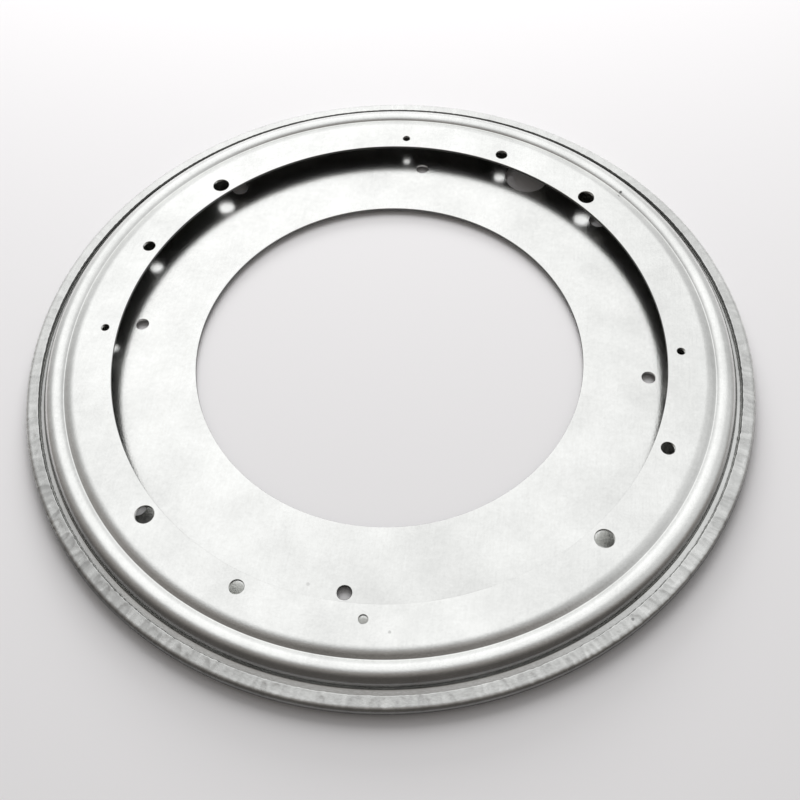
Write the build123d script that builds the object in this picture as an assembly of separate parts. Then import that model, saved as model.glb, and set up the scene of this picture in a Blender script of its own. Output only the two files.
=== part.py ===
from build123d import *
import os
from math import atan2, cos, degrees, radians, sin, sqrt

# A flat turntable bearing: two pressed sheet-steel rings with a row of loose
# balls between them. The lower ring's rim is hemmed over the upper ring's
# flange, so the rings stay together and turn freely. The axis is Z, and the
# underside of the lower race stands on Z = 0. Sizes are in millimetres and
# degrees.

# Sheet and overall size
sheet = 1.2
outer_diameter = 304.0

# Balls and their race, which lies a rim's width inside the outer edge
ball_diameter = 7.94
ball_count = 36
ball_clearance = 0.2
rim_width = 13.4

# Upper ring: flat, slope into the valley, bead over the balls and flange
upper_flat_width = 14.9
slope_reach = 8.2
valley_slope = 24.0
upper_slope_radius = 8.0
upper_valley_radius = 0.5
upper_flange_fillet = 0.5

# Lower ring: flat, ball groove and flange, reaching inwards from the balls
lower_reach = 56.4
lower_flat_rise = 1.59
lower_bend_radius = 1.8
lower_flange_bend_radius = 1.6

# Flanges, which fall outwards, and the flatter hem of the lower ring round the upper ring's flange
flange_slope = 12.0
flange_rise = 1.6
hem_slope = 6.5
hem_clearance = 0.25
hem_width = 5.7

# Screw holes, in sets spaced evenly round the axis, placed by shares of the rings' widths
holes_in_set = 4
upper_hole_share = 0.37919
upper_large_hole = 7.3
upper_large_angle = 49.4
upper_medium_hole = 5.4
upper_medium_angle = 71.9
upper_small_hole = 3.3
upper_small_angle = 4.4
lower_screw_share = 0.47872
lower_screw_hole = 5.5
lower_screw_angle = 0.0
lower_large_hole = 7.7
lower_large_angle = 45.0

# Hole that lets a screwdriver reach the upper ring's screws
access_hole = 20.0
access_angle = 65.3

# Radii that follow from the sizes above, from the outer edge inwards
rim = outer_diameter / 2
hem_edge = rim - hem_width
ball_circle = rim - rim_width
upper_flat_edge = ball_circle - slope_reach
upper_bore = upper_flat_edge - upper_flat_width
lower_bore = ball_circle - lower_reach
upper_hole_circle = upper_bore + upper_hole_share * upper_flat_width
lower_screw_circle = lower_bore + lower_screw_share * lower_reach

# Heights that follow from the balls, from the stand upwards
race_radius = ball_diameter / 2 + ball_clearance
ball_height = sheet + race_radius
bead_radius = race_radius + sheet
upper_top = ball_height + bead_radius
lower_top = lower_flat_rise + sheet
ball_centre = (ball_circle, ball_height)
half_turn = 180

# Distances of the flange's face and the fold's centre from the ball's centre, square to the flanges' slope
hem_closing = (hem_width - 2 * sheet) * sin(radians(flange_slope - hem_slope))
fold_radius = (sheet + hem_closing) / 2 + hem_clearance
lower_flange_rise = flange_rise - sheet - hem_clearance
fold_rise = lower_flange_rise + fold_radius


def heading(start, end):
    """Angle of the line from one section point to another, in degrees."""
    return degrees(atan2(end[1] - start[1], end[0] - start[0]))


def on_circle(centre, radius, angle):
    """Point of a section circle at an angle."""
    return (centre[0] + radius * cos(radians(angle)), centre[1] + radius * sin(radians(angle)))


def beside_ball(height, distance, side):
    """Section point at a height and a distance from the ball's centre, inside (-1) or outside (1) it."""
    return (ball_circle + side * sqrt(distance**2 - (height - ball_height) ** 2), height)


def down_slope(origin, slope, along, rise):
    """Section point at a distance down a slope from an origin and at a height square to that slope."""
    turn = radians(slope)
    across = along * cos(turn) + rise * sin(turn)
    return (origin[0] + across, origin[1] - along * sin(turn) + rise * cos(turn))


def along_slope(origin, slope, radius, rise):
    """Distance down a slope, from an origin, of the section point at a radius and a rise."""
    turn = radians(slope)
    return (radius - origin[0] - rise * sin(turn)) / cos(turn)


def on_flange(along, rise):
    """Section point at a distance down the flanges' slope and a rise square to it."""
    return down_slope(ball_centre, flange_slope, along, rise)


def arc(centre, radius, start, end):
    """Section arc from one angle to another, either way round."""
    return CenterArc(centre, radius, start, end - start)


# Centres of the bends, each tangent to its neighbours in the section
slope_centre = (upper_flat_edge, upper_top - upper_slope_radius)
valley_rise = upper_slope_radius + upper_valley_radius
ball_offset = down_slope((0, 0), -valley_slope, slope_reach, ball_height - slope_centre[1])
valley_along = ball_offset[0] - sqrt(
    (bead_radius + upper_valley_radius) ** 2 - (valley_rise - ball_offset[1]) ** 2
)
valley_centre = down_slope(slope_centre, valley_slope, valley_along, valley_rise)
flange_along = sqrt((bead_radius + upper_flange_fillet) ** 2 - (flange_rise + upper_flange_fillet) ** 2)
flange_centre = on_flange(flange_along, flange_rise + upper_flange_fillet)
lower_bend_centre = beside_ball(lower_top - lower_bend_radius, race_radius + lower_bend_radius, -1)
lower_flange_along = sqrt(
    (race_radius + lower_flange_bend_radius) ** 2 - (lower_flange_rise - lower_flange_bend_radius) ** 2
)
lower_flange_centre = on_flange(lower_flange_along, lower_flange_rise - lower_flange_bend_radius)
fold_along = along_slope(ball_centre, flange_slope, rim - sheet - fold_radius, fold_rise)
fold_centre = on_flange(fold_along, fold_rise)
hem_along = along_slope(fold_centre, hem_slope, hem_edge, fold_radius + sheet)


def upper_line(depth):
    """The upper ring's section line at a depth below its top face, from its bore to its flange edge."""
    start = (upper_bore, upper_top - depth)
    slope_end = 90 - valley_slope
    bead_start = heading(ball_centre, valley_centre)
    bead_end = heading(ball_centre, flange_centre)
    flange_face = flange_rise - depth
    return [
        Line(start, (slope_centre[0], upper_top - depth)),
        arc(slope_centre, upper_slope_radius - depth, 90, slope_end),
        Line(
            on_circle(slope_centre, upper_slope_radius - depth, slope_end),
            on_circle(valley_centre, upper_valley_radius + depth, slope_end + half_turn),
        ),
        arc(valley_centre, upper_valley_radius + depth, slope_end + half_turn, bead_start + half_turn),
        arc(ball_centre, bead_radius - depth, bead_start, bead_end),
        arc(flange_centre, upper_flange_fillet + depth, bead_end + half_turn, 90 - flange_slope + half_turn),
        Line(on_flange(flange_along, flange_face), on_flange(fold_along - hem_clearance, flange_face)),
    ]


def lower_line(depth):
    """The lower ring's section line at a depth below its top face, from its bore to the hem's edge."""
    start = (lower_bore, lower_top - depth)
    race_start = heading(ball_centre, lower_bend_centre)
    race_end = heading(ball_centre, lower_flange_centre)
    fold_start = 90 - flange_slope
    fold_end = 90 - hem_slope
    flange_face = lower_flange_rise - depth
    hem_face = fold_radius + depth
    return [
        Line(start, (lower_bend_centre[0], lower_top - depth)),
        arc(lower_bend_centre, lower_bend_radius - depth, 90, race_start + half_turn),
        arc(ball_centre, race_radius + depth, race_start, race_end),
        arc(lower_flange_centre, lower_flange_bend_radius - depth, race_end + half_turn, fold_start),
        Line(on_flange(lower_flange_along, flange_face), on_flange(fold_along, flange_face)),
        arc(fold_centre, hem_face, fold_start - half_turn, fold_end),
        Line(
            on_circle(fold_centre, hem_face, fold_end),
            down_slope(fold_centre, hem_slope, hem_along, hem_face),
        ),
    ]


def pressed_ring(section_line):
    """A ring of sheet whose two faces follow the same section line, a sheet apart."""
    top = section_line(0)
    under = section_line(sheet)
    ends = [Line(top[0] @ 0, under[0] @ 0), Line(top[-1] @ 1, under[-1] @ 1)]
    section = make_face([*top, *under, *ends])
    return revolve(Plane.XZ * section, Axis.Z)


def hole_set(circle, hole_diameter, angle, count=holes_in_set):
    """Drills for a set of holes spaced evenly on a circle of the given radius, tall enough for either ring."""
    drill = Cylinder(hole_diameter / 2, 2 * upper_top)
    return PolarLocations(circle, count, angle) * drill


def make_upper_ring():
    """The turning ring: flat, valley, bead over the balls and flange, with three sets of screw holes."""
    ring = pressed_ring(upper_line)
    ring -= hole_set(upper_hole_circle, upper_large_hole, upper_large_angle)
    ring -= hole_set(upper_hole_circle, upper_medium_hole, upper_medium_angle)
    ring -= hole_set(upper_hole_circle, upper_small_hole, upper_small_angle)
    return ring


def make_lower_ring():
    """The fixed ring: flat, ball groove and hemmed rim, with two sets of screw holes and the access hole."""
    ring = pressed_ring(lower_line)
    ring -= hole_set(lower_screw_circle, lower_screw_hole, lower_screw_angle)
    ring -= hole_set(upper_hole_circle, lower_large_hole, lower_large_angle)
    ring -= hole_set(upper_hole_circle, access_hole, access_angle, 1)
    return ring


def make_balls():
    """Balls spaced evenly round the race."""
    places = PolarLocations(ball_circle, ball_count).locations
    return [Pos(0, 0, ball_height) * place * Sphere(ball_diameter / 2) for place in places]


os.makedirs("parts", exist_ok=True)
export_step(make_upper_ring(), "parts/upper_ring.step")
export_step(make_lower_ring(), "parts/lower_ring.step")
for number, ball in enumerate(make_balls(), start=1):
    export_step(ball, f"parts/bearing_ball_{number:02d}.step")
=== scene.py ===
import logging
import math
from dataclasses import dataclass, field
from enum import Enum
from typing import Any, Optional, Union

import bpy
import numpy as np
from mathutils import Matrix, Vector


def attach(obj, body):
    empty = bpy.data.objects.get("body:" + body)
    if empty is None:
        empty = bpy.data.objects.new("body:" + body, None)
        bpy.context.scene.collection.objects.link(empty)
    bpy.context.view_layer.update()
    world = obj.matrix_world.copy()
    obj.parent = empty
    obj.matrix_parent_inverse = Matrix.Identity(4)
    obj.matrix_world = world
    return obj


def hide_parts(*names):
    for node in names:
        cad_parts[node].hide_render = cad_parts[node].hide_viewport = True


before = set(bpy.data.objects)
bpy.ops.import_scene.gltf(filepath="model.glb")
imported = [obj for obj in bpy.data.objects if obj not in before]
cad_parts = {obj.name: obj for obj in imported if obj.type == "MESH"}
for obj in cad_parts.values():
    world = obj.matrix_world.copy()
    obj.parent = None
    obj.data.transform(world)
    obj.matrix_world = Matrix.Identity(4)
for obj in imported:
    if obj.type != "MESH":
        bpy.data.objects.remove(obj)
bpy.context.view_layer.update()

LOG = logging.getLogger("lazy_susan_bearing")
MM = 0.001
CUT_EDGE = "cut_edge"
BURNISH = "burnish"
CAMERA_TURN = 11.124
SHARP_ANGLE = 32.0
SAME_POINT = 0.004
HOLE_SIDES = 64
BALL_SEGMENTS = 32
BALL_RINGS = 16
PER_MM = (1000.0, 1000.0, 1000.0)
WHITE = (1.0, 1.0, 1.0, 1.0)
BLACK = (0.0, 0.0, 0.0, 1.0)
HOLE_CIRCLE = 121.15
LOWER_SCREW_CIRCLE = 109.2
UPPER_FLAT_SHARES = (0.02, 0.25, 0.5, 0.75, 0.98)
LOWER_FLAT_SHARES = (0.01, 0.25, 0.5, 0.75, 0.99)
LINE_SHARES = (0.1, 0.5, 0.9)
HEM_SHARES = (0.1, 0.2, 0.3, 0.4, 0.5, 0.6, 0.7, 0.8, 0.9)
UNEVEN = (0.3, 1.0)
Point = tuple[float, float]
Place = tuple[float, float, float]
Colour = tuple[float, float, float]
Socket = bpy.types.NodeSocket


class Body(Enum):
    """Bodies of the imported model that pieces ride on."""

    LOWER_RING = "lower_ring"
    BALL_ROW = "ball_row"
    UPPER_RING = "upper_ring"


class Slot(Enum):
    """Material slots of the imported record."""

    RING_STEEL = "ring_steel"
    BALL_STEEL = "ball_steel"


def rotation(angle: float, axis: str) -> Matrix:
    """Rotation about an axis by an angle in degrees."""
    return Matrix.Rotation(math.radians(angle), 3, axis)


def turned(way: Place) -> Vector:
    """A direction given as seen by the camera (right, back, up), in the part's frame."""
    return rotation(CAMERA_TURN, "Z") @ Vector(way)


class Value:
    """A value in a node tree, whose operators add Math nodes to the tree."""

    def __init__(self, builder: "TreeBuilder", socket: Socket) -> None:
        """Wraps one output socket.

        Args:
            builder: The builder of the tree that the socket belongs to.
            socket: The output socket.
        """
        self.builder = builder
        self.socket = socket

    def math(self, operation: str, *others: Union["Value", float], first: bool = True) -> "Value":
        """Adds one Math node.

        Args:
            operation: The Math node's operation.
            others: The other operands.
            first: Whether this value is the first operand.

        Returns:
            The node's result.
        """
        operands = [self, *others] if first else [*others, self]
        node = self.builder.node("ShaderNodeMath", {"operation": operation}, dict(enumerate(operands)))
        return Value(self.builder, node.outputs[0])

    def __add__(self, other: Union["Value", float]) -> "Value":
        """Sum."""
        return self.math("ADD", other)

    __radd__ = __add__

    def __sub__(self, other: Union["Value", float]) -> "Value":
        """Difference."""
        return self.math("SUBTRACT", other)

    def __rsub__(self, other: float) -> "Value":
        """Difference with a number first."""
        return self.math("SUBTRACT", other, first=False)

    def __mul__(self, other: Union["Value", float]) -> "Value":
        """Product."""
        return self.math("MULTIPLY", other)

    __rmul__ = __mul__

    def smooth(self, low: float, high: float) -> "Value":
        """Smooth step from 0 to 1.

        Args:
            low: The value at which the step starts.
            high: The value at which it ends. It may be below low, and the step then falls.

        Returns:
            The step.
        """
        sides = (low, high, 0.0, 1.0) if low < high else (high, low, 1.0, 0.0)
        sockets = dict(zip(("Value", "From Min", "From Max", "To Min", "To Max"), (self, *sides)))
        node = self.builder.node("ShaderNodeMapRange", {"interpolation_type": "SMOOTHSTEP"}, sockets)
        return Value(self.builder, node.outputs["Result"])


class TreeBuilder:
    """Builder of one node tree."""

    def __init__(self, tree: bpy.types.NodeTree) -> None:
        """Starts with an empty tree.

        Args:
            tree: The tree of a material, of the world or of a modifier.
        """
        self.tree = tree
        tree.nodes.clear()

    def node(
        self,
        kind: str,
        settings: Optional[dict[str, Any]] = None,
        sockets: Optional[dict[Union[str, int], Any]] = None,
    ) -> bpy.types.Node:
        """Adds a node.

        Args:
            kind: The node's type.
            settings: Its settings, which are set first.
            sockets: Values or links of its inputs, by name or number; a list makes several links.

        Returns:
            The node.
        """
        node = self.tree.nodes.new(kind)
        for name, setting in (settings or {}).items():
            setattr(node, name, setting)
        for name, value in (sockets or {}).items():
            for part in value if isinstance(value, list) else [value]:
                source = part.socket if isinstance(part, Value) else part
                if isinstance(source, Socket):
                    self.tree.links.new(source, node.inputs[name])
                else:
                    node.inputs[name].default_value = source
        return node

    def value(self, socket: Socket) -> Value:
        """Wraps a socket for maths."""
        return Value(self, socket)


class Shade(TreeBuilder):
    """Builder of the tree of a material or of the world."""

    def mix(self, factor: Union[Value, float], first: Any, second: Any) -> Socket:
        """Mixes two colours.

        Args:
            factor: Share of the second colour.
            first: Colour or socket at 0.
            second: Colour or socket at 1.

        Returns:
            The mixed colour's socket.
        """
        node = self.node("ShaderNodeMix", {"data_type": "RGBA"}, {0: factor, 6: first, 7: second})
        return node.outputs[2]

    def noise(self, vector: Socket, scale: float, roughness: float = 0.5, detail: float = 3.0) -> Value:
        """Noise about 0.

        Args:
            vector: The place's socket.
            scale: Cells per unit of the place.
            roughness: Share of each finer octave.
            detail: Octaves.

        Returns:
            Noise from about -0.5 to 0.5.
        """
        sockets = {"Vector": vector, "Scale": scale, "Detail": detail, "Roughness": roughness}
        return self.value(self.node("ShaderNodeTexNoise", None, sockets).outputs[0]) - 0.5

    def spot(self) -> Socket:
        """Object coordinates, in metres."""
        return self.node("ShaderNodeTexCoord").outputs["Object"]

    def place(self, scale: Place) -> Socket:
        """Object coordinates, scaled along each axis."""
        sockets = {"Vector": self.spot(), "Scale": scale}
        return self.node("ShaderNodeMapping", None, sockets).outputs["Vector"]

    def attribute(self, name: str) -> Value:
        """A number stored on the mesh."""
        return self.value(self.node("ShaderNodeAttribute", {"attribute_name": name}).outputs["Fac"])

    def rays(self) -> tuple[Value, Value]:
        """Whether a ray comes from the camera, and whether from a mirroring surface."""
        path = self.node("ShaderNodeLightPath").outputs
        return self.value(path["Is Camera Ray"]), self.value(path["Is Glossy Ray"])

    def measure(self, operation: str, first: Any, second: Any) -> Value:
        """A number from two vectors, by the operation of a Vector Math node."""
        node = self.node("ShaderNodeVectorMath", {"operation": operation}, {0: first, 1: second})
        return self.value(node.outputs["Value"])

    def distance(self, point: Place) -> Value:
        """Distance from a point of the object, in metres."""
        return self.measure("DISTANCE", self.spot(), point)

    def principled(self, sockets: dict[str, Any]) -> Socket:
        """Adds a Principled shader and gives its result."""
        return self.node("ShaderNodeBsdfPrincipled", None, sockets).outputs["BSDF"]

    def close(self, shader: Socket) -> None:
        """Ends a material's tree with its surface."""
        self.node("ShaderNodeOutputMaterial", None, {"Surface": shader})


def new_material(name: str) -> tuple[bpy.types.Material, Shade]:
    """Makes a material.

    Args:
        name: Its name.

    Returns:
        The material and the builder of its tree, which is empty.
    """
    material = bpy.data.materials.new(name)
    material.use_nodes = True
    return material, Shade(material.node_tree)


@dataclass(frozen=True)
class SpeckOrPaintedShade:
    """A dark speck on the plating, or a broad patch of painted shade, at a place in millimetres."""

    place: Place
    radius: float
    depth: float


@dataclass(frozen=True)
class ZincPlate:
    """Satin zinc plating on pressed sheet steel."""

    name: str
    colour: Colour = (0.915, 0.918, 0.902)
    roughness: float = 0.2
    cloud: float = 0.17
    mottle: float = 0.18
    grain: float = 0.10
    bump: float = 0.035
    # Cut edges darken by this share: partly the duller bare sheared steel, partly painted shade of the
    # narrow gaps beside them.
    sheared_and_painted_shade: float = 0.75
    cut_roughness: float = 0.35
    burnish_gain: float = 0.15
    burnish_polish: float = 0.04
    base_tone: float = 0.9
    cloud_scale: float = 0.045
    mottle_scale: float = 0.42
    mottle_fineness: float = 0.8
    grain_scale: float = 1.1
    grain_fineness: float = 0.65
    rolled_scale: Place = (1400.0, 90.0, 400.0)
    rolled_share: float = 0.6
    rolled_bump: float = 0.5
    cloud_roughness: float = 0.06
    grain_roughness: float = 0.08
    dark_core: float = 0.4
    specks_and_painted_shade: tuple[SpeckOrPaintedShade, ...] = ()

    def material(self) -> bpy.types.Material:
        """Builds the plating.

        Returns:
            The material.
        """
        material, shade = new_material(self.name)
        place = shade.place(PER_MM)
        clouds = shade.noise(place, self.cloud_scale)
        mottle = shade.noise(place, self.mottle_scale, self.mottle_fineness)
        grain = shade.noise(place, self.grain_scale, self.grain_fineness)
        rolled = shade.noise(shade.place(self.rolled_scale), 1.0, detail=2.0)
        tone = self.base_tone + clouds * (2 * self.cloud) + mottle * self.mottle
        tone = tone + grain * self.grain + rolled * (self.rolled_share * self.grain)
        # Dark specks on the plating, and broad patches of painted shade.
        for speck_or_shade in self.specks_and_painted_shade:
            away = shade.distance(tuple(MM * part for part in speck_or_shade.place))
            radius = MM * speck_or_shade.radius
            spot = away.smooth(radius, self.dark_core * radius)
            tone = tone * (1.0 - spot * speck_or_shade.depth)
        # Cut edges are darker and rougher. The darkening is partly the bare sheared steel and partly painted
        # shade of the gaps beside them.
        cut = shade.attribute(CUT_EDGE)
        rolled_marks = shade.attribute(BURNISH)
        tone = tone * (1.0 - cut * self.sheared_and_painted_shade) * (1.0 + rolled_marks * self.burnish_gain)
        colour = shade.mix(tone, BLACK, (*self.colour, 1.0))
        rough = self.roughness + clouds * self.cloud_roughness + grain * self.grain_roughness
        rough = rough + cut * self.cut_roughness - rolled_marks * self.burnish_polish
        relief = grain + rolled * self.rolled_bump
        lie = {"Strength": 1.0, "Distance": self.bump * MM, "Height": relief}
        normal = shade.node("ShaderNodeBump", None, lie).outputs["Normal"]
        sockets = {"Base Color": colour, "Metallic": 1.0, "Roughness": rough, "Normal": normal}
        shade.close(shade.principled(sockets))
        return material


@dataclass(frozen=True)
class BallSteel:
    """Bright hard steel of the balls, with a thin film of grease."""

    name: str
    colour: Colour = (0.74, 0.74, 0.75)
    roughness: float = 0.1
    film_scale: float = 0.4
    film_roughness: float = 0.08

    def material(self) -> bpy.types.Material:
        """Builds the steel.

        Returns:
            The material.
        """
        material, shade = new_material(self.name)
        film = shade.noise(shade.place(PER_MM), self.film_scale)
        rough = self.roughness + film * self.film_roughness
        sockets = {"Base Color": (*self.colour, 1.0), "Metallic": 1.0, "Roughness": rough}
        shade.close(shade.principled(sockets))
        return material


@dataclass(frozen=True)
class PaleSheet:
    """Matt pale sheet that the part lies on, with painted shade on its front where the plating mirrors it.
    """

    name: str
    colour: Colour = (0.80, 0.79, 0.80)
    roughness: float = 0.9
    gloss: float = 0.1
    # Painted shade: share of the sheet's colour on its front, seen only in the plating's reflections.
    mirrored_front_shade: float = 0.25
    front: Point = (0.02, -0.11)
    backdrop: float = 0.92
    fade: Point = (0.3, 0.7)

    def material(self) -> bpy.types.Material:
        """Builds the sheet's surface.

        Returns:
            The material.
        """
        material, shade = new_material(self.name)
        way = tuple(turned((0.0, 1.0, 0.0)))
        front = shade.measure("DOT_PRODUCT", shade.spot(), way).smooth(*self.front)
        camera, mirrored = shade.rays()
        # Painted shade: rays from the mirroring plating see the sheet's front darker, standing in for the
        # dim side in front of the part.
        painted_shade_colour = (*(self.mirrored_front_shade * part for part in self.colour), 1.0)
        colour = shade.mix(mirrored * front, (*self.colour, 1.0), painted_shade_colour)
        sockets = {"Base Color": colour, "Roughness": self.roughness, "Specular IOR Level": self.gloss}
        far = shade.node("ShaderNodeEmission", None, {"Color": WHITE, "Strength": self.backdrop})
        share = camera * shade.distance((0.0, 0.0, 0.0)).smooth(*self.fade)
        parts = {0: share, 1: shade.principled(sockets), 2: far.outputs["Emission"]}
        shade.close(shade.node("ShaderNodeMixShader", None, parts).outputs["Shader"])
        return material


def heading(start: Point, end: Point) -> float:
    """Angle of the line from one section point to another, in degrees."""
    return math.degrees(math.atan2(end[1] - start[1], end[0] - start[0]))


def down_slope(origin: Point, slope: float, along: float, rise: float) -> Point:
    """Section point beside a slope.

    Args:
        origin: Section point that the slope passes through.
        slope: Fall of the slope in degrees.
        along: Distance down the slope.
        rise: Height square to the slope.

    Returns:
        The point.
    """
    turn = math.radians(slope)
    across = along * math.cos(turn) + rise * math.sin(turn)
    return (origin[0] + across, origin[1] - along * math.sin(turn) + rise * math.cos(turn))


def along_slope(origin: Point, slope: float, radius: float, rise: float) -> float:
    """Distance down a slope, from an origin, of the section point at a radius and a rise."""
    turn = math.radians(slope)
    return (radius - origin[0] - rise * math.sin(turn)) / math.cos(turn)


def arc_points(centre: Point, radius: float, start: float, end: float, steps: int) -> list[Point]:
    """Points of a section arc, both ends included.

    Args:
        centre: Centre of the arc.
        radius: Radius of the arc.
        start: Angle of its start in degrees.
        end: Angle of its end in degrees.
        steps: Number of chords.

    Returns:
        The points.
    """
    turns = [math.radians(start + (end - start) * step / steps) for step in range(steps + 1)]
    return [(centre[0] + radius * math.cos(turn), centre[1] + radius * math.sin(turn)) for turn in turns]


def line_points(start: Point, end: Point, shares: tuple[float, ...]) -> list[Point]:
    """Points between the ends of a section line, at shares of its length."""
    return [tuple(a + (b - a) * share for a, b in zip(start, end)) for share in shares]


def rounded_end(over: Point, under: Point, along: Point, radius: float, steps: int = 4) -> list[Point]:
    """The cut edge of a sheet, with both corners rounded.

    Args:
        over: End of the first face.
        under: End of the second face.
        along: Unit vector out of the sheet at the edge.
        radius: Corner radius.
        steps: Chords of each corner.

    Returns:
        Points from the first face to the second.
    """
    length = math.dist(over, under)
    across = ((under[0] - over[0]) / length, (under[1] - over[1]) / length)
    points = []
    for corner, side in ((over, 1), (under, -1)):
        centre = [c + radius * (side * n - a) for c, n, a in zip(corner, across, along)]
        for step in range(steps + 1):
            turn = math.radians(90 * step / steps)
            out, down = (math.sin(turn), -math.cos(turn)) if side > 0 else (math.cos(turn), math.sin(turn))
            points.append(tuple(c + radius * (out * a + down * n) for c, a, n in zip(centre, along, across)))
    return points


def new_object(name: str, data: bpy.types.ID) -> bpy.types.Object:
    """Puts a mesh, a lamp or a camera into the scene as an object at the origin.

    Args:
        name: Name of the object.
        data: Its mesh, lamp or camera.

    Returns:
        The object.
    """
    thing = bpy.data.objects.new(name, data)
    bpy.context.scene.collection.objects.link(thing)
    return thing


def plain_mesh(thing: bpy.types.Object, name: str) -> bpy.types.Object:
    """Turns an object with modifiers into a plain, smooth mesh of its own.

    Args:
        thing: The object, which is removed.
        name: Name of the new object.

    Returns:
        The new object, without modifiers.
    """
    evaluated = thing.evaluated_get(bpy.context.evaluated_depsgraph_get())
    mesh = bpy.data.meshes.new_from_object(evaluated)
    mesh.name = name
    mesh.polygons.foreach_set("use_smooth", [True] * len(mesh.polygons))
    old = thing.data
    bpy.data.objects.remove(thing)
    bpy.data.meshes.remove(old)
    return new_object(name, mesh)


class NodeRule(TreeBuilder):
    """A Geometry Nodes tree with named inputs, used as a modifier."""

    def __init__(self, name: str, sizes: tuple[str, ...]) -> None:
        """Starts a tree.

        Args:
            name: Name of the tree.
            sizes: Names of the sizes that it takes, beside a geometry, a count and a material.
        """
        super().__init__(bpy.data.node_groups.new(name, "GeometryNodeTree"))
        inputs = {"Geometry": "Geometry", "Count": "Int", **dict.fromkeys(sizes, "Float")}
        inputs["Material"] = "Material"
        face = self.tree.interface
        self.sockets = {
            label: face.new_socket(name=label, in_out="INPUT", socket_type=f"NodeSocket{kind}").identifier
            for label, kind in inputs.items()
        }
        face.new_socket(name="Geometry", in_out="OUTPUT", socket_type="NodeSocketGeometry")
        self.start = self.tree.nodes.new("NodeGroupInput")
        self.end = self.tree.nodes.new("NodeGroupOutput")

    def given(self, label: str) -> Value:
        """An input of the tree, for maths."""
        return self.value(self.start.outputs[label])

    def vector(self, x: Any, y: Any, z: Any) -> Socket:
        """Adds a Combine XYZ node and gives its result."""
        return self.node("ShaderNodeCombineXYZ", None, {"X": x, "Y": y, "Z": z}).outputs[0]

    def make(self, kind: str, sockets: dict[str, Any], **settings: Any) -> Socket:
        """Adds a geometry node, by the end of its type's name, and gives its first result."""
        return self.node(f"GeometryNode{kind}", settings, sockets).outputs[0]

    def lift(self, mesh: Socket, height: Value) -> Socket:
        """Moves a mesh up."""
        return self.make("Transform", {"Geometry": mesh, "Translation": self.vector(0.0, 0.0, height)})

    def close(self, geometry: Socket) -> None:
        """Ends the tree with realized instances in the given material.

        Args:
            geometry: The geometry to finish.
        """
        real = self.make("RealizeInstances", {"Geometry": geometry})
        dressed = self.make("SetMaterial", {"Geometry": real, "Material": self.start.outputs["Material"]})
        self.tree.links.new(dressed, self.end.inputs["Geometry"])

    def apply(self, thing: bpy.types.Object, values: dict[str, Any]) -> None:
        """Adds the tree to an object as a modifier.

        Args:
            thing: The object.
            values: Values of the inputs, by name.
        """
        modifier = thing.modifiers.new(self.tree.name, "NODES")
        modifier.node_group = self.tree
        for label, value in values.items():
            modifier[self.sockets[label]] = value


def punch_rule() -> NodeRule:
    """Makes the rule that punches a set of holes with broken edges through a flat of a ring.

    Returns:
        The rule.
    """
    sizes = ("Circle", "First Angle", "Hole Radius", "Top", "Under", "Edge")
    rule = NodeRule("punched_holes", sizes)
    circle, start, hole, top, under, edge = (rule.given(size) for size in sizes)
    count = rule.given("Count")
    # Three edges tall, a cone opens from one edge inside the hole to two outside it
    narrow, wide = hole - edge, hole + edge * 2.0
    sides = {"Vertices": HOLE_SIDES, "Side Segments": 1, "Fill Segments": 1}
    cone = {**sides, "Depth": edge * 3.0}
    shank = rule.make("MeshCylinder", {**sides, "Radius": hole, "Depth": (top - under) * 2.0})
    over = rule.make("MeshCone", {**cone, "Radius Top": wide, "Radius Bottom": narrow})
    below = rule.make("MeshCone", {**cone, "Radius Top": narrow, "Radius Bottom": wide})
    number = rule.value(rule.make("InputIndex", {}))
    turn = start + number * count.math("DIVIDE", 2 * math.pi, first=False)
    x, y = (circle * turn.math(part) for part in ("COSINE", "SINE"))
    spots = rule.make("Points", {"Count": count, "Position": rule.vector(x, y, 0.0)})
    drills = []
    for drill, height in ((shank, (top + under) * 0.5), (over, top - edge * 2.0), (below, under - edge)):
        spread = rule.make("InstanceOnPoints", {"Points": spots, "Instance": rule.lift(drill, height)})
        drills.append(rule.make("RealizeInstances", {"Geometry": spread}))
    meshes = {"Mesh 1": rule.start.outputs["Geometry"], "Mesh 2": drills}
    punched = rule.make("MeshBoolean", meshes, operation="DIFFERENCE", solver="MANIFOLD")
    doubles = {"Geometry": punched, "Distance": 0.5 * SAME_POINT * MM}
    rule.close(rule.make("MergeByDistance", doubles))
    return rule


def ball_rule() -> NodeRule:
    """Makes the rule that sets a row of balls round the race.

    Returns:
        The rule.
    """
    rule = NodeRule("balls_round_race", ("Circle", "Height", "Ball Radius"))
    ring = rule.make("MeshCircle", {"Vertices": rule.given("Count"), "Radius": rule.given("Circle")})
    sizes = {"Segments": BALL_SEGMENTS, "Rings": BALL_RINGS, "Radius": rule.given("Ball Radius")}
    ball = rule.make("MeshUVSphere", sizes)
    spread = {"Points": rule.lift(ring, rule.given("Height")), "Instance": ball}
    rule.close(rule.make("InstanceOnPoints", spread))
    return rule


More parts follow.
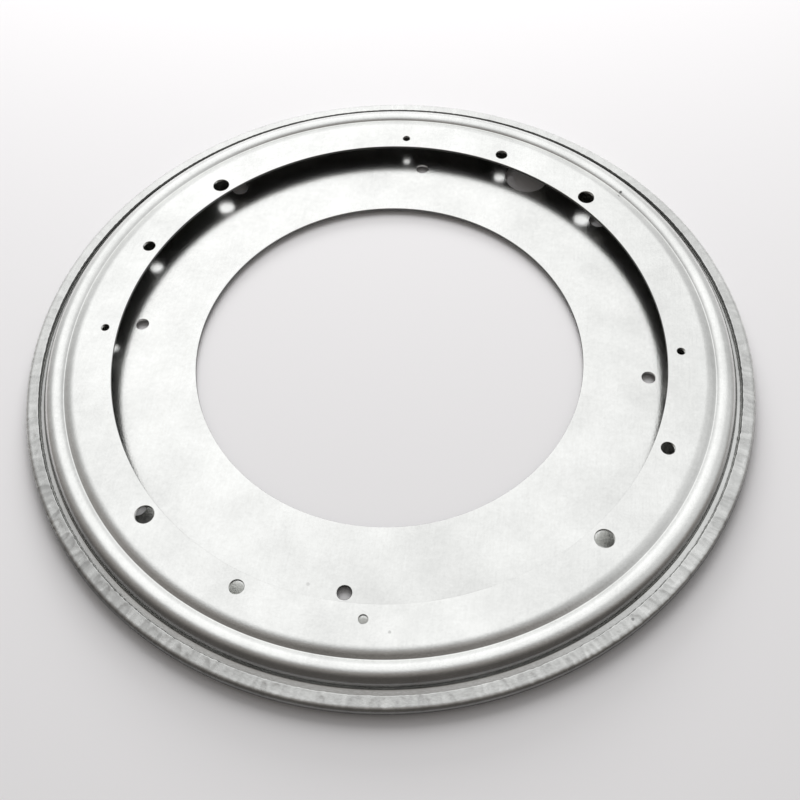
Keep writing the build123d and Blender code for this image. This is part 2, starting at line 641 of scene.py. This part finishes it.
@dataclass(frozen=True)
class Race:
    """Sizes that the two rings and the balls share, in millimetres."""

    sheet: float = 1.2
    rim: float = 152.0
    ball_diameter: float = 7.94
    ball_count: int = 36
    ball_clearance: float = 0.2
    rim_width: float = 13.4
    flange_slope: float = 12.0
    flange_rise: float = 1.6
    hem_slope: float = 6.5
    hem_clearance: float = 0.25
    hem_width: float = 5.7
    lower_rise: float = 1.59

    @property
    def circle(self) -> float:
        """Radius of the balls' circle."""
        return self.rim - self.rim_width

    @property
    def radius(self) -> float:
        """Radius of the race round a ball."""
        return self.ball_diameter / 2 + self.ball_clearance

    @property
    def height(self) -> float:
        """Height of the balls' centres."""
        return self.sheet + self.radius

    @property
    def bead(self) -> float:
        """Outer radius of the bead over the balls."""
        return self.radius + self.sheet

    @property
    def centre(self) -> Point:
        """Section point at a ball's centre."""
        return (self.circle, self.height)

    @property
    def upper_top(self) -> float:
        """Height of the upper ring's flat."""
        return self.height + self.bead

    @property
    def lower_top(self) -> float:
        """Height of the lower ring's flat."""
        return self.lower_rise + self.sheet

    @property
    def fold_radius(self) -> float:
        """Inner radius of the hem's fold."""
        turn = math.radians(self.flange_slope - self.hem_slope)
        closing = (self.hem_width - 2 * self.sheet) * math.sin(turn)
        return (self.sheet + closing) / 2 + self.hem_clearance

    @property
    def lower_flange_rise(self) -> float:
        """Rise of the lower ring's flange above the ball's centre, square to the flanges."""
        return self.flange_rise - self.sheet - self.hem_clearance

    @property
    def fold_along(self) -> float:
        """Distance of the fold's centre down the flanges' slope."""
        rise = self.lower_flange_rise + self.fold_radius
        return along_slope(self.centre, self.flange_slope, self.rim - self.sheet - self.fold_radius, rise)

    @property
    def fold(self) -> Point:
        """Section point at the centre of the hem's fold."""
        return self.on_flange(self.fold_along, self.lower_flange_rise + self.fold_radius)

    def on_flange(self, along: float, rise: float) -> Point:
        """Section point at a distance down the flanges' slope and a rise square to it."""
        return down_slope(self.centre, self.flange_slope, along, rise)

    def beside(self, height: float, distance: float, side: int) -> Point:
        """Section point beside a ball.

        Args:
            height: Height of the point.
            distance: Distance from the ball's centre.
            side: -1 inside the ball's circle, 1 outside it.

        Returns:
            The point.
        """
        return (self.circle + side * math.sqrt(distance**2 - (height - self.height) ** 2), height)


@dataclass(frozen=True)
class HoleSet:
    """Holes spaced evenly on a circle, in millimetres and degrees."""

    hole: float
    angle: float
    count: int = 4
    circle: float = HOLE_CIRCLE


@dataclass
class PressedRing:
    """A ring revolved from the closed section of a pressed sheet."""

    name: str
    body: Body
    race: Race
    finish: ZincPlate
    holes: tuple[HoleSet, ...]
    flat_top: float
    segments: int = 480
    edge: float = 0.18
    corner: float = 0.2
    sheared: set[Point] = field(default_factory=set)
    burnish: dict[int, np.ndarray] = field(default_factory=dict)

    def face(self, depth: float) -> list[list[Point]]:
        """Section points of one face of the sheet, bend by bend, from the bore outwards.

        Args:
            depth: Depth below the sheet's first face.

        Returns:
            The points of each bend or flat.
        """
        raise NotImplementedError

    def outer_way(self) -> Point:
        """Unit vector out of the sheet at its outer edge."""
        raise NotImplementedError

    def section(self) -> list[Point]:
        """Closed section of the ring.

        Returns:
            Points round the section, the first face first.
        """
        over = [point for run in self.face(0.0) for point in run]
        under = [point for run in self.face(self.race.sheet) for point in run]
        outer = rounded_end(over[-1], under[-1], self.outer_way(), self.corner)
        inner = rounded_end(under[0], over[0], (-1.0, 0.0), self.corner)
        self.sheared = {*outer[3:-3], *inner[3:-3]}
        return tidy_loop([*over[1:-1], *outer, *under[-2:0:-1], *inner])

    def counts(self, section: list[Point]) -> list[int]:
        """Segments round the axis at each section point."""
        return [self.segments for _ in section]

    def shaped(self, section: list[Point], counts: list[int]) -> list[np.ndarray]:
        """Places of the points of every row.

        Args:
            section: Section points in millimetres.
            counts: Segments of each row.

        Returns:
            An array of x, y and z in millimetres for each row.
        """
        rows = []
        for (radius, height), count in zip(section, counts):
            turn = round_axis(count)
            x, y = radius * np.cos(turn), radius * np.sin(turn)
            rows.append(np.stack([x, y, np.full(count, height)], axis=1))
        return rows

    def blank(self) -> bpy.types.Mesh:
        """Revolves the section into a mesh without holes.

        Returns:
            The mesh.
        """
        section = self.section()
        counts = self.counts(section)
        rows = self.shaped(section, counts)
        starts = np.concatenate([[0], np.cumsum(counts)])
        faces: list[tuple[int, ...]] = []
        for row in range(len(section)):
            after = (row + 1) % len(section)
            faces.extend(band(starts[row], counts[row], starts[after], counts[after]))
        mesh = bpy.data.meshes.new(self.name)
        mesh.from_pydata((np.concatenate(rows) * MM).tolist(), [], faces)
        mesh.validate()
        marks = np.repeat([float(point in self.sheared) for point in section], counts)
        mesh.attributes.new(CUT_EDGE, "FLOAT", "POINT").data.foreach_set("value", marks)
        shine = np.concatenate([self.burnish.get(row, np.zeros(count)) for row, count in enumerate(counts)])
        mesh.attributes.new(BURNISH, "FLOAT", "POINT").data.foreach_set("value", shine)
        return mesh

    def build(self, punch: NodeRule) -> bpy.types.Object:
        """Builds the ring, punches its holes and dresses it.

        Args:
            punch: The rule that punches holes.

        Returns:
            The finished object.
        """
        material = self.finish.material()
        thing = new_object(self.name, self.blank())
        for holes in self.holes:
            values = {
                "Count": holes.count,
                "Circle": MM * holes.circle,
                "First Angle": math.radians(holes.angle),
                "Hole Radius": MM * holes.hole / 2,
                "Top": MM * self.flat_top,
                "Under": MM * (self.flat_top - self.race.sheet),
                "Edge": MM * self.edge,
                "Material": material,
            }
            punch.apply(thing, values)
        thing = plain_mesh(thing, self.name)
        thing.data.set_sharp_from_angle(angle=math.radians(SHARP_ANGLE))
        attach(thing, self.body.value)
        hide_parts(self.body.value)
        return thing


def round_axis(count: int) -> np.ndarray:
    """Angles of points spaced evenly round the axis."""
    return np.arange(count) * (2 * math.pi / count)


def tidy_loop(points: list[Point]) -> list[Point]:
    """Drops section points that repeat their neighbour.

    Args:
        points: Points round a closed section.

    Returns:
        The points that stay.
    """
    kept: list[Point] = []
    for point in points:
        if not kept or math.dist(kept[-1], point) > SAME_POINT:
            kept.append(point)
    if math.dist(kept[0], kept[-1]) <= SAME_POINT:
        kept.pop()
    return kept


def band(start: int, count: int, after: int, after_count: int) -> list[tuple[int, ...]]:
    """Faces between two neighbouring rows of a ring.

    Args:
        start: Number of the first row's first point.
        count: Points of the first row.
        after: Number of the next row's first point.
        after_count: Points of the next row, the same, a multiple or a share of count.

    Returns:
        The faces, pointing out of the section.
    """
    faces: list[tuple[int, ...]] = []
    if count == after_count:
        for step in range(count):
            ahead = (step + 1) % count
            faces.append((start + step, after + step, after + ahead, start + ahead))
        return faces
    flip = count > after_count
    coarse, fine = (after, start) if flip else (start, after)
    few, many = min(count, after_count), max(count, after_count)
    share = many // few
    for step in range(few):
        near, far = coarse + step, coarse + (step + 1) % few
        line = [fine + (step * share + part) % many for part in range(share + 1)]
        half = share // 2
        fans = [(near, line[part + 1], line[part]) for part in range(half)]
        fans.append((near, far, line[half]))
        fans.extend((far, line[part + 1], line[part]) for part in range(half, share))
        faces.extend(fan if flip else tuple(reversed(fan)) for fan in fans)
    return faces


@dataclass
class UpperRing(PressedRing):
    """The turning ring: flat, valley, bead over the balls and flange."""

    flat_width: float = 14.9
    slope_reach: float = 8.2
    valley_slope: float = 24.0
    slope_radius: float = 8.0
    valley_radius: float = 0.5
    flange_fillet: float = 0.5
    slope_steps: int = 12
    fillet_steps: int = 8
    bead_steps: int = 36

    def face(self, depth: float) -> list[list[Point]]:
        """Section points of one face of the sheet, from the bore to the flange edge.

        Args:
            depth: Depth below the top face.

        Returns:
            The points of each bend or flat.
        """
        race = self.race
        top = self.flat_top
        flat_edge = race.circle - self.slope_reach
        slope = (flat_edge, top - self.slope_radius)
        rise = self.slope_radius + self.valley_radius
        ball = down_slope((0.0, 0.0), -self.valley_slope, self.slope_reach, race.height - slope[1])
        reach = math.sqrt((race.bead + self.valley_radius) ** 2 - (rise - ball[1]) ** 2)
        valley = down_slope(slope, self.valley_slope, ball[0] - reach, rise)
        clear = race.flange_rise + self.flange_fillet
        flange_along = math.sqrt((race.bead + self.flange_fillet) ** 2 - clear**2)
        flange = race.on_flange(flange_along, clear)
        slope_end = 90 - self.valley_slope
        bead_start = heading(race.centre, valley)
        bead_end = heading(race.centre, flange)
        start = (flat_edge - self.flat_width, top - depth)
        flange_start = race.on_flange(flange_along, race.flange_rise - depth)
        end = race.on_flange(race.fold_along - race.hem_clearance, race.flange_rise - depth)
        steps = self.fillet_steps
        return [
            [start, *line_points(start, (flat_edge, top - depth), UPPER_FLAT_SHARES)],
            arc_points(slope, self.slope_radius - depth, 90, slope_end, self.slope_steps),
            arc_points(valley, self.valley_radius + depth, slope_end + 180, bead_start + 180, steps),
            arc_points(race.centre, race.bead - depth, bead_start, bead_end, self.bead_steps),
            arc_points(flange, self.flange_fillet + depth, bead_end + 180, 270 - race.flange_slope, steps),
            [*line_points(flange_start, end, LINE_SHARES), end],
        ]

    def outer_way(self) -> Point:
        """Unit vector out of the sheet at the flange's edge."""
        return down_slope((0.0, 0.0), self.race.flange_slope, 1.0, 0.0)


@dataclass
class LowerRing(PressedRing):
    """The fixed ring: flat, ball groove and a rim hemmed over the upper ring's flange."""

    reach: float = 56.4
    bend_radius: float = 1.8
    flange_bend_radius: float = 1.6
    bend_steps: int = 6
    race_steps: int = 16
    fold_steps: int = 16
    segments: int = 400
    fine_share: int = 5
    # Two stretches of the hem, given by angle round the axis in degrees, width in degrees and share, are
    # made darker and duller, and their dents deeper.
    darker_stretches: tuple[Place, ...] = ((226.0, 35.0, 1.8), (340.0, 42.0, 0.8))
    darker_spread: float = 1.15
    quiet_share: float = 0.2
    darker_dent_share: float = 0.7
    dents: int = 400
    dent_depth: float = 0.2
    dent_shift: float = 0.4
    dent_reach: float = 3.0
    roller: Point = (3.0, 9.0)
    dent_middle: Point = (1.6, 4.4)
    dent_length: Point = (1.6, 3.6)
    dent_lean: float = 0.3
    dent_seed: int = 11
    ragged: float = 0.18
    ragged_waves: tuple[int, int, int] = (60, 520, 18)
    ragged_phase: float = 6.28
    ragged_reach: float = 1.2
    edge_seed: int = 29
    hem_middle: float = 0.6
    hem_margin: float = 0.5
    fine_low: float = 2.9
    fade_start: float = 0.15
    fade_reach: float = 0.8

    def face(self, depth: float) -> list[list[Point]]:
        """Section points of one face of the sheet, from the bore to the hem's edge.

        Args:
            depth: Depth below the top face of the flat, which is the inside of the hem.

        Returns:
            The points of each bend or flat.
        """
        race = self.race
        top = self.flat_top
        rise = race.lower_flange_rise
        bend = race.beside(top - self.bend_radius, race.radius + self.bend_radius, -1)
        clear = rise - self.flange_bend_radius
        flange_along = math.sqrt((race.radius + self.flange_bend_radius) ** 2 - clear**2)
        flange = race.on_flange(flange_along, clear)
        race_start = heading(race.centre, bend)
        race_end = heading(race.centre, flange)
        fold_start = 90 - race.flange_slope
        fold_end = 90 - race.hem_slope
        hem_rise = race.fold_radius + depth
        hem_top = race.fold_radius + race.sheet
        hem_along = along_slope(race.fold, race.hem_slope, race.rim - race.hem_width, hem_top)
        start = (race.circle - self.reach, top - depth)
        flange_line = [race.on_flange(along, rise - depth) for along in (flange_along, race.fold_along)]
        hem_line = [down_slope(race.fold, race.hem_slope, along, hem_rise) for along in (0.0, hem_along)]
        steps = self.bend_steps
        shares = HEM_SHARES if depth else LINE_SHARES
        return [
            [start, *line_points(start, (bend[0], top - depth), LOWER_FLAT_SHARES)],
            arc_points(bend, self.bend_radius - depth, 90, race_start + 180, steps),
            arc_points(race.centre, race.radius + depth, race_start, race_end, self.race_steps),
            arc_points(flange, self.flange_bend_radius - depth, race_end + 180, fold_start, steps),
            line_points(*flange_line, LINE_SHARES),
            arc_points(race.fold, hem_rise, fold_start - 180, fold_end, self.fold_steps if depth else steps),
            [*line_points(*hem_line, shares), hem_line[1]],
        ]

    def outer_way(self) -> Point:
        """Unit vector out of the sheet at the hem's edge."""
        return down_slope((0.0, 0.0), self.race.hem_slope, -1.0, 0.0)

    def on_hem(self, point: Point) -> bool:
        """Whether a section point is on the hem's outside or its edge.

        Args:
            point: The section point.

        Returns:
            True on the stretch that has dents.
        """
        race = self.race
        middle = race.fold_radius + self.hem_middle * race.sheet
        turn = math.radians(race.hem_slope)
        away = (point[0] - race.fold[0], point[1] - race.fold[1])
        along = away[0] * math.cos(turn) - away[1] * math.sin(turn)
        rise = away[0] * math.sin(turn) + away[1] * math.cos(turn)
        over = rise > middle and point[0] > race.rim - race.hem_width - self.hem_margin
        return point[1] > self.fine_low and (over or (along > 0 and math.hypot(*away) > middle))

    def counts(self, section: list[Point]) -> list[int]:
        """Segments round the axis at each section point, more of them on the hem."""
        return [self.segments * (self.fine_share if self.on_hem(point) else 1) for point in section]

    def dent_field(self, count: int, across: np.ndarray) -> tuple[np.ndarray, np.ndarray]:
        """Dents that the closing roller left on the hem.

        Args:
            count: Points round the axis.
            across: Distance of each hem row from the hem's edge, in millimetres.

        Returns:
            Depths in millimetres and shares of burnished plating, one line for each hem row.
        """
        draw = np.random.default_rng(self.dent_seed)
        depth = np.zeros((len(across), count))
        burnished = np.zeros_like(depth)
        arc = 2 * math.pi * self.race.rim / count
        for number in range(self.dents):
            centre = (number + draw.uniform(-self.dent_shift, self.dent_shift)) * count / self.dents
            deep = self.dent_depth * draw.uniform(*UNEVEN)
            roller = draw.uniform(*self.roller)
            middle, long = draw.uniform(*self.dent_middle), draw.uniform(*self.dent_length)
            lean = draw.uniform(-self.dent_lean, self.dent_lean)
            shine = draw.uniform(-1.0, 1.0)
            reach = self.dent_reach / arc
            columns = np.arange(int(centre - reach), int(centre + reach) + 1)
            gap = (columns - centre) * arc
            lengthwise = deep * np.exp(-(((across - middle) / long) ** 4))
            shifted = gap[None, :] - lean * (across - middle)[:, None]
            dent = lengthwise[:, None] - shifted**2 / (2 * roller)
            columns = columns % count
            deeper = dent > depth[:, columns]
            depth[:, columns] = np.where(deeper, dent, depth[:, columns])
            burnished[:, columns] = np.where(deeper, shine, burnished[:, columns])
        turn = round_axis(count)
        dull = sum(share * self.near(turn, at, reach) for at, reach, share in self.darker_stretches)
        close = sum(self.near(turn, at, self.darker_spread * reach) for at, reach, _ in self.darker_stretches)
        strong = self.quiet_share + self.darker_dent_share * close
        return depth * strong, burnished * strong - np.broadcast_to(dull, depth.shape)

    @staticmethod
    def near(turn: np.ndarray, at: float, reach: float) -> np.ndarray:
        """Share from 1 to 0 by which angles round the axis lie near one of them, given in degrees."""
        apart = np.degrees(np.angle(np.exp(1j * (turn - math.radians(at)))))
        return np.exp(-((apart / reach) ** 2))

    def shaped(self, section: list[Point], counts: list[int]) -> list[np.ndarray]:
        """Places of the points of every row, with the hem's dents and ragged edge.

        Args:
            section: Section points in millimetres.
            counts: Segments of each row.

        Returns:
            An array of x, y and z in millimetres for each row.
        """
        rows = super().shaped(section, counts)
        fine = [row for row, count in enumerate(counts) if count > self.segments]
        edge = self.race.rim - self.race.hem_width
        steps = [math.dist(section[row], section[after]) for row, after in zip(fine, fine[1:])]
        count = counts[fine[0]]
        dents, burnished = self.dent_field(count, np.cumsum([0.0, *steps]))
        self.burnish = dict(zip(fine, burnished))
        draw = np.random.default_rng(self.edge_seed)
        turn = round_axis(count)
        ragged = sum(
            draw.uniform(*UNEVEN) * np.cos(int(waves) * turn + draw.uniform(0, self.ragged_phase))
            for waves in draw.integers(*self.ragged_waves)
        )
        ragged = self.ragged * ragged / np.abs(ragged).max()
        for row, dent in zip(fine, dents):
            radius, height = section[row]
            before, beyond = section[row - 1], section[(row + 1) % len(section)]
            step = (beyond[0] - before[0], beyond[1] - before[1])
            length = math.hypot(*step)
            inward = (step[1] / length, -step[0] / length)
            ease = max(0.0, 1.0 - (radius - edge) / self.ragged_reach) if height > self.race.height else 0.0
            fade = (height - self.fine_low - self.fade_start) / self.fade_reach
            fade = min(1.0, max(0.0, fade))
            moved = radius + inward[0] * dent * fade + ragged * ease
            rows[row][:, 0] = moved * np.cos(turn)
            rows[row][:, 1] = moved * np.sin(turn)
            rows[row][:, 2] = height + inward[1] * dent * fade
        return rows


@dataclass
class BallRow:
    """The loose balls that the upper ring runs on."""

    race: Race
    finish: BallSteel
    name: str = "ball_row"

    def build(self, rule: NodeRule) -> bpy.types.Object:
        """Builds the row of balls and dresses it.

        Args:
            rule: The rule that sets balls round the race.

        Returns:
            The finished object.
        """
        thing = new_object(self.name, bpy.data.meshes.new(self.name))
        values = {
            "Count": self.race.ball_count,
            "Circle": MM * self.race.circle,
            "Height": MM * self.race.height,
            "Ball Radius": MM * self.race.ball_diameter / 2,
            "Material": self.finish.material(),
        }
        rule.apply(thing, values)
        thing = plain_mesh(thing, self.name)
        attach(thing, Body.BALL_ROW.value)
        nodes = [f"bearing_ball_{number:02d}" for number in range(1, self.race.ball_count + 1)]
        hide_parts(*nodes)
        return thing


@dataclass(frozen=True)
class Lamp:
    """A soft lamp, placed as seen by the camera (right, back, up), that the plating doesn't mirror."""

    name: str
    place: Place
    width: float
    height: float
    power: float


@dataclass(frozen=True)
class Glow:
    """A soft patch of brightness in the surroundings."""

    way: Place
    inner: float
    outer: float
    strength: float


@dataclass
class Studio:
    """Pale sheet, soft light and surroundings."""

    sheet: PaleSheet
    half_width: float = 2.0
    sheet_height: float = -0.0001
    lamps: tuple[Lamp, ...] = (
        Lamp("soft_key", (0.05, 0.8, 0.85), 0.8, 0.8, 8.2),
        Lamp("low_key", (0.0, 1.24, 0.4), 0.7, 0.3, 10.5),
    )
    floor_level: float = 0.071
    glows: tuple[Glow, ...] = (
        Glow((-0.10, 0.99, 0.01), 0.0, 57.0, 0.37),
        Glow((0.15, 0.87, 0.47), 0.0, 112.0, 0.57),
        Glow((0.71, 0.03, 0.71), 0.0, 32.0, 0.25),
        Glow((-0.04, 0.50, 0.86), 0.0, 41.0, 0.50),
        Glow((-0.35, 0.45, 0.82), 0.0, 27.0, 0.07),
    )
    dim_tint: Colour = (1.06, 0.99, 0.93)
    bright_tint: Colour = (0.995, 1.0, 1.0)
    tint_range: Point = (0.08, 0.6)
    soft_share: float = 0.55
    ambient: float = 0.15

    def floor(self) -> bpy.types.Object:
        """Lays the pale sheet.

        Returns:
            The sheet.
        """
        side = self.half_width
        mesh = bpy.data.meshes.new("pale_sheet")
        corners = [(-side, -side), (side, -side), (side, side), (-side, side)]
        mesh.from_pydata([(x, y, self.sheet_height) for x, y in corners], [], [(0, 1, 2, 3)])
        mesh.materials.append(self.sheet.material())
        thing = new_object("pale_sheet", mesh)
        return thing

    def hang(self, lamp: Lamp) -> None:
        """Hangs a soft lamp, turned towards the middle of the part.

        Args:
            lamp: The lamp.
        """
        light = bpy.data.lights.new(lamp.name, "AREA")
        light.shape = "RECTANGLE"
        light.size = lamp.width
        light.size_y = lamp.height
        light.energy = lamp.power
        thing = new_object(lamp.name, light)
        place = turned(lamp.place)
        aim = (-place).to_track_quat("-Z", "Y").to_matrix().to_4x4()
        thing.matrix_world = Matrix.Translation(place) @ aim
        thing.visible_glossy = False
        thing.visible_camera = False

    def surroundings(self) -> None:
        """Makes the surroundings that the plating mirrors: bright above and behind, dim in front."""
        world = bpy.data.worlds.new("studio")
        world.use_nodes = True
        bpy.context.scene.world = world
        shade = Shade(world.node_tree)
        way = shade.node("ShaderNodeTexCoord").outputs["Generated"]
        camera, mirrored = shade.rays()
        light: Union[Value, float] = self.floor_level
        for glow in self.glows:
            facing = shade.measure("DOT_PRODUCT", way, tuple(turned(glow.way).normalized()))
            edges = (math.cos(math.radians(glow.outer)), math.cos(math.radians(glow.inner)))
            light = light + facing.smooth(*edges) * glow.strength
        soft = light * self.soft_share + self.ambient
        other = (1.0 - camera - mirrored).math("MAXIMUM", 0.0)
        strength = camera * self.sheet.backdrop + mirrored * light + other * soft
        tint = shade.mix(light.smooth(*self.tint_range), (*self.dim_tint, 1.0), (*self.bright_tint, 1.0))
        colour = shade.mix(camera, tint, WHITE)
        back = shade.node("ShaderNodeBackground", None, {"Color": colour, "Strength": strength})
        shade.node("ShaderNodeOutputWorld", None, {"Surface": back.outputs["Background"]})


@dataclass
class PhotoCamera:
    """Camera at the photograph's place and angle."""

    target_height: float = 10.74
    azimuth: float = CAMERA_TURN
    elevation: float = 53.9226
    distance: float = 391.263
    pan: float = 0.51347
    tilt: float = 3.77396
    roll: float = 3.0902
    lens: float = 41.88
    sensor_width: float = 36.0
    clip_start: float = 0.01

    def build(self) -> bpy.types.Object:
        """Sets the camera up.

        Returns:
            The camera.
        """
        rise = math.radians(self.elevation)
        back = Vector((0.0, -math.cos(rise), math.sin(rise)))
        right = Vector((1.0, 0.0, 0.0))
        aim = Matrix((right, back.cross(right), back))
        for angle, axis in ((self.pan, "Y"), (self.tilt, "X"), (self.roll, "Z")):
            aim = rotation(angle, axis) @ aim
        turn = rotation(self.azimuth, "Z")
        place = turn @ (back * self.distance) + Vector((0.0, 0.0, self.target_height))
        data = bpy.data.cameras.new("camera")
        data.sensor_width = self.sensor_width
        data.lens = self.lens
        data.clip_start = self.clip_start
        thing = new_object("camera", data)
        thing.matrix_world = Matrix.Translation(place * MM) @ (turn @ aim.transposed()).to_4x4()
        bpy.context.scene.camera = thing
        return thing


def report(thing: bpy.types.Object) -> None:
    """Logs a finished piece with its number of triangles."""
    triangles = sum(len(face.vertices) - 2 for face in thing.data.polygons)
    LOG.info("%s: %d triangles", thing.name, triangles)


def main() -> None:
    """Builds the bearing and its studio."""
    logging.basicConfig(level=logging.INFO, format="%(name)s: %(message)s")
    bpy.context.scene.view_settings.view_transform = "Standard"
    race = Race()
    punch = punch_rule()
    upper = UpperRing(
        name="upper_ring_plate",
        body=Body.UPPER_RING,
        race=race,
        finish=ZincPlate(
            "upper_zinc",
            specks_and_painted_shade=(SpeckOrPaintedShade((94.7, 97.8, 10.1), 0.9, 0.8), SpeckOrPaintedShade((19.2, -124.1, 10.74), 0.8, 0.3)),
        ),
        holes=(HoleSet(7.3, 49.4), HoleSet(5.4, 71.9), HoleSet(3.3, 4.4)),
        flat_top=race.upper_top,
    )
    report(upper.build(punch))
    lower = LowerRing(
        name="lower_ring_plate",
        body=Body.LOWER_RING,
        race=race,
        finish=ZincPlate(
            "lower_zinc",
            roughness=0.22,
            specks_and_painted_shade=(
                SpeckOrPaintedShade((103.2, -106.5, 6.5), 0.8, 0.5),
                SpeckOrPaintedShade((-13.8, -107.8, 2.79), 1.0, 0.2),
                # A broad faint patch of painted shade on the front of the lower flat, standing in for the
                # upper ring's shadow in its reflection.
                SpeckOrPaintedShade((21.6, -109.9, 2.79), 50.0, 0.06),
            ),
        ),
        holes=(
            HoleSet(5.5, 0.0, circle=LOWER_SCREW_CIRCLE),
            HoleSet(7.7, 45.0),
            HoleSet(20.0, 65.3, count=1),
        ),
        flat_top=race.lower_top,
    )
    report(lower.build(punch))
    report(BallRow(race, BallSteel("ball_steel")).build(ball_rule()))
    studio = Studio(PaleSheet("pale_sheet"))
    studio.floor()
    for lamp in studio.lamps:
        studio.hang(lamp)
    studio.surroundings()
    PhotoCamera().build()


if __name__ == "__main__":
    main()
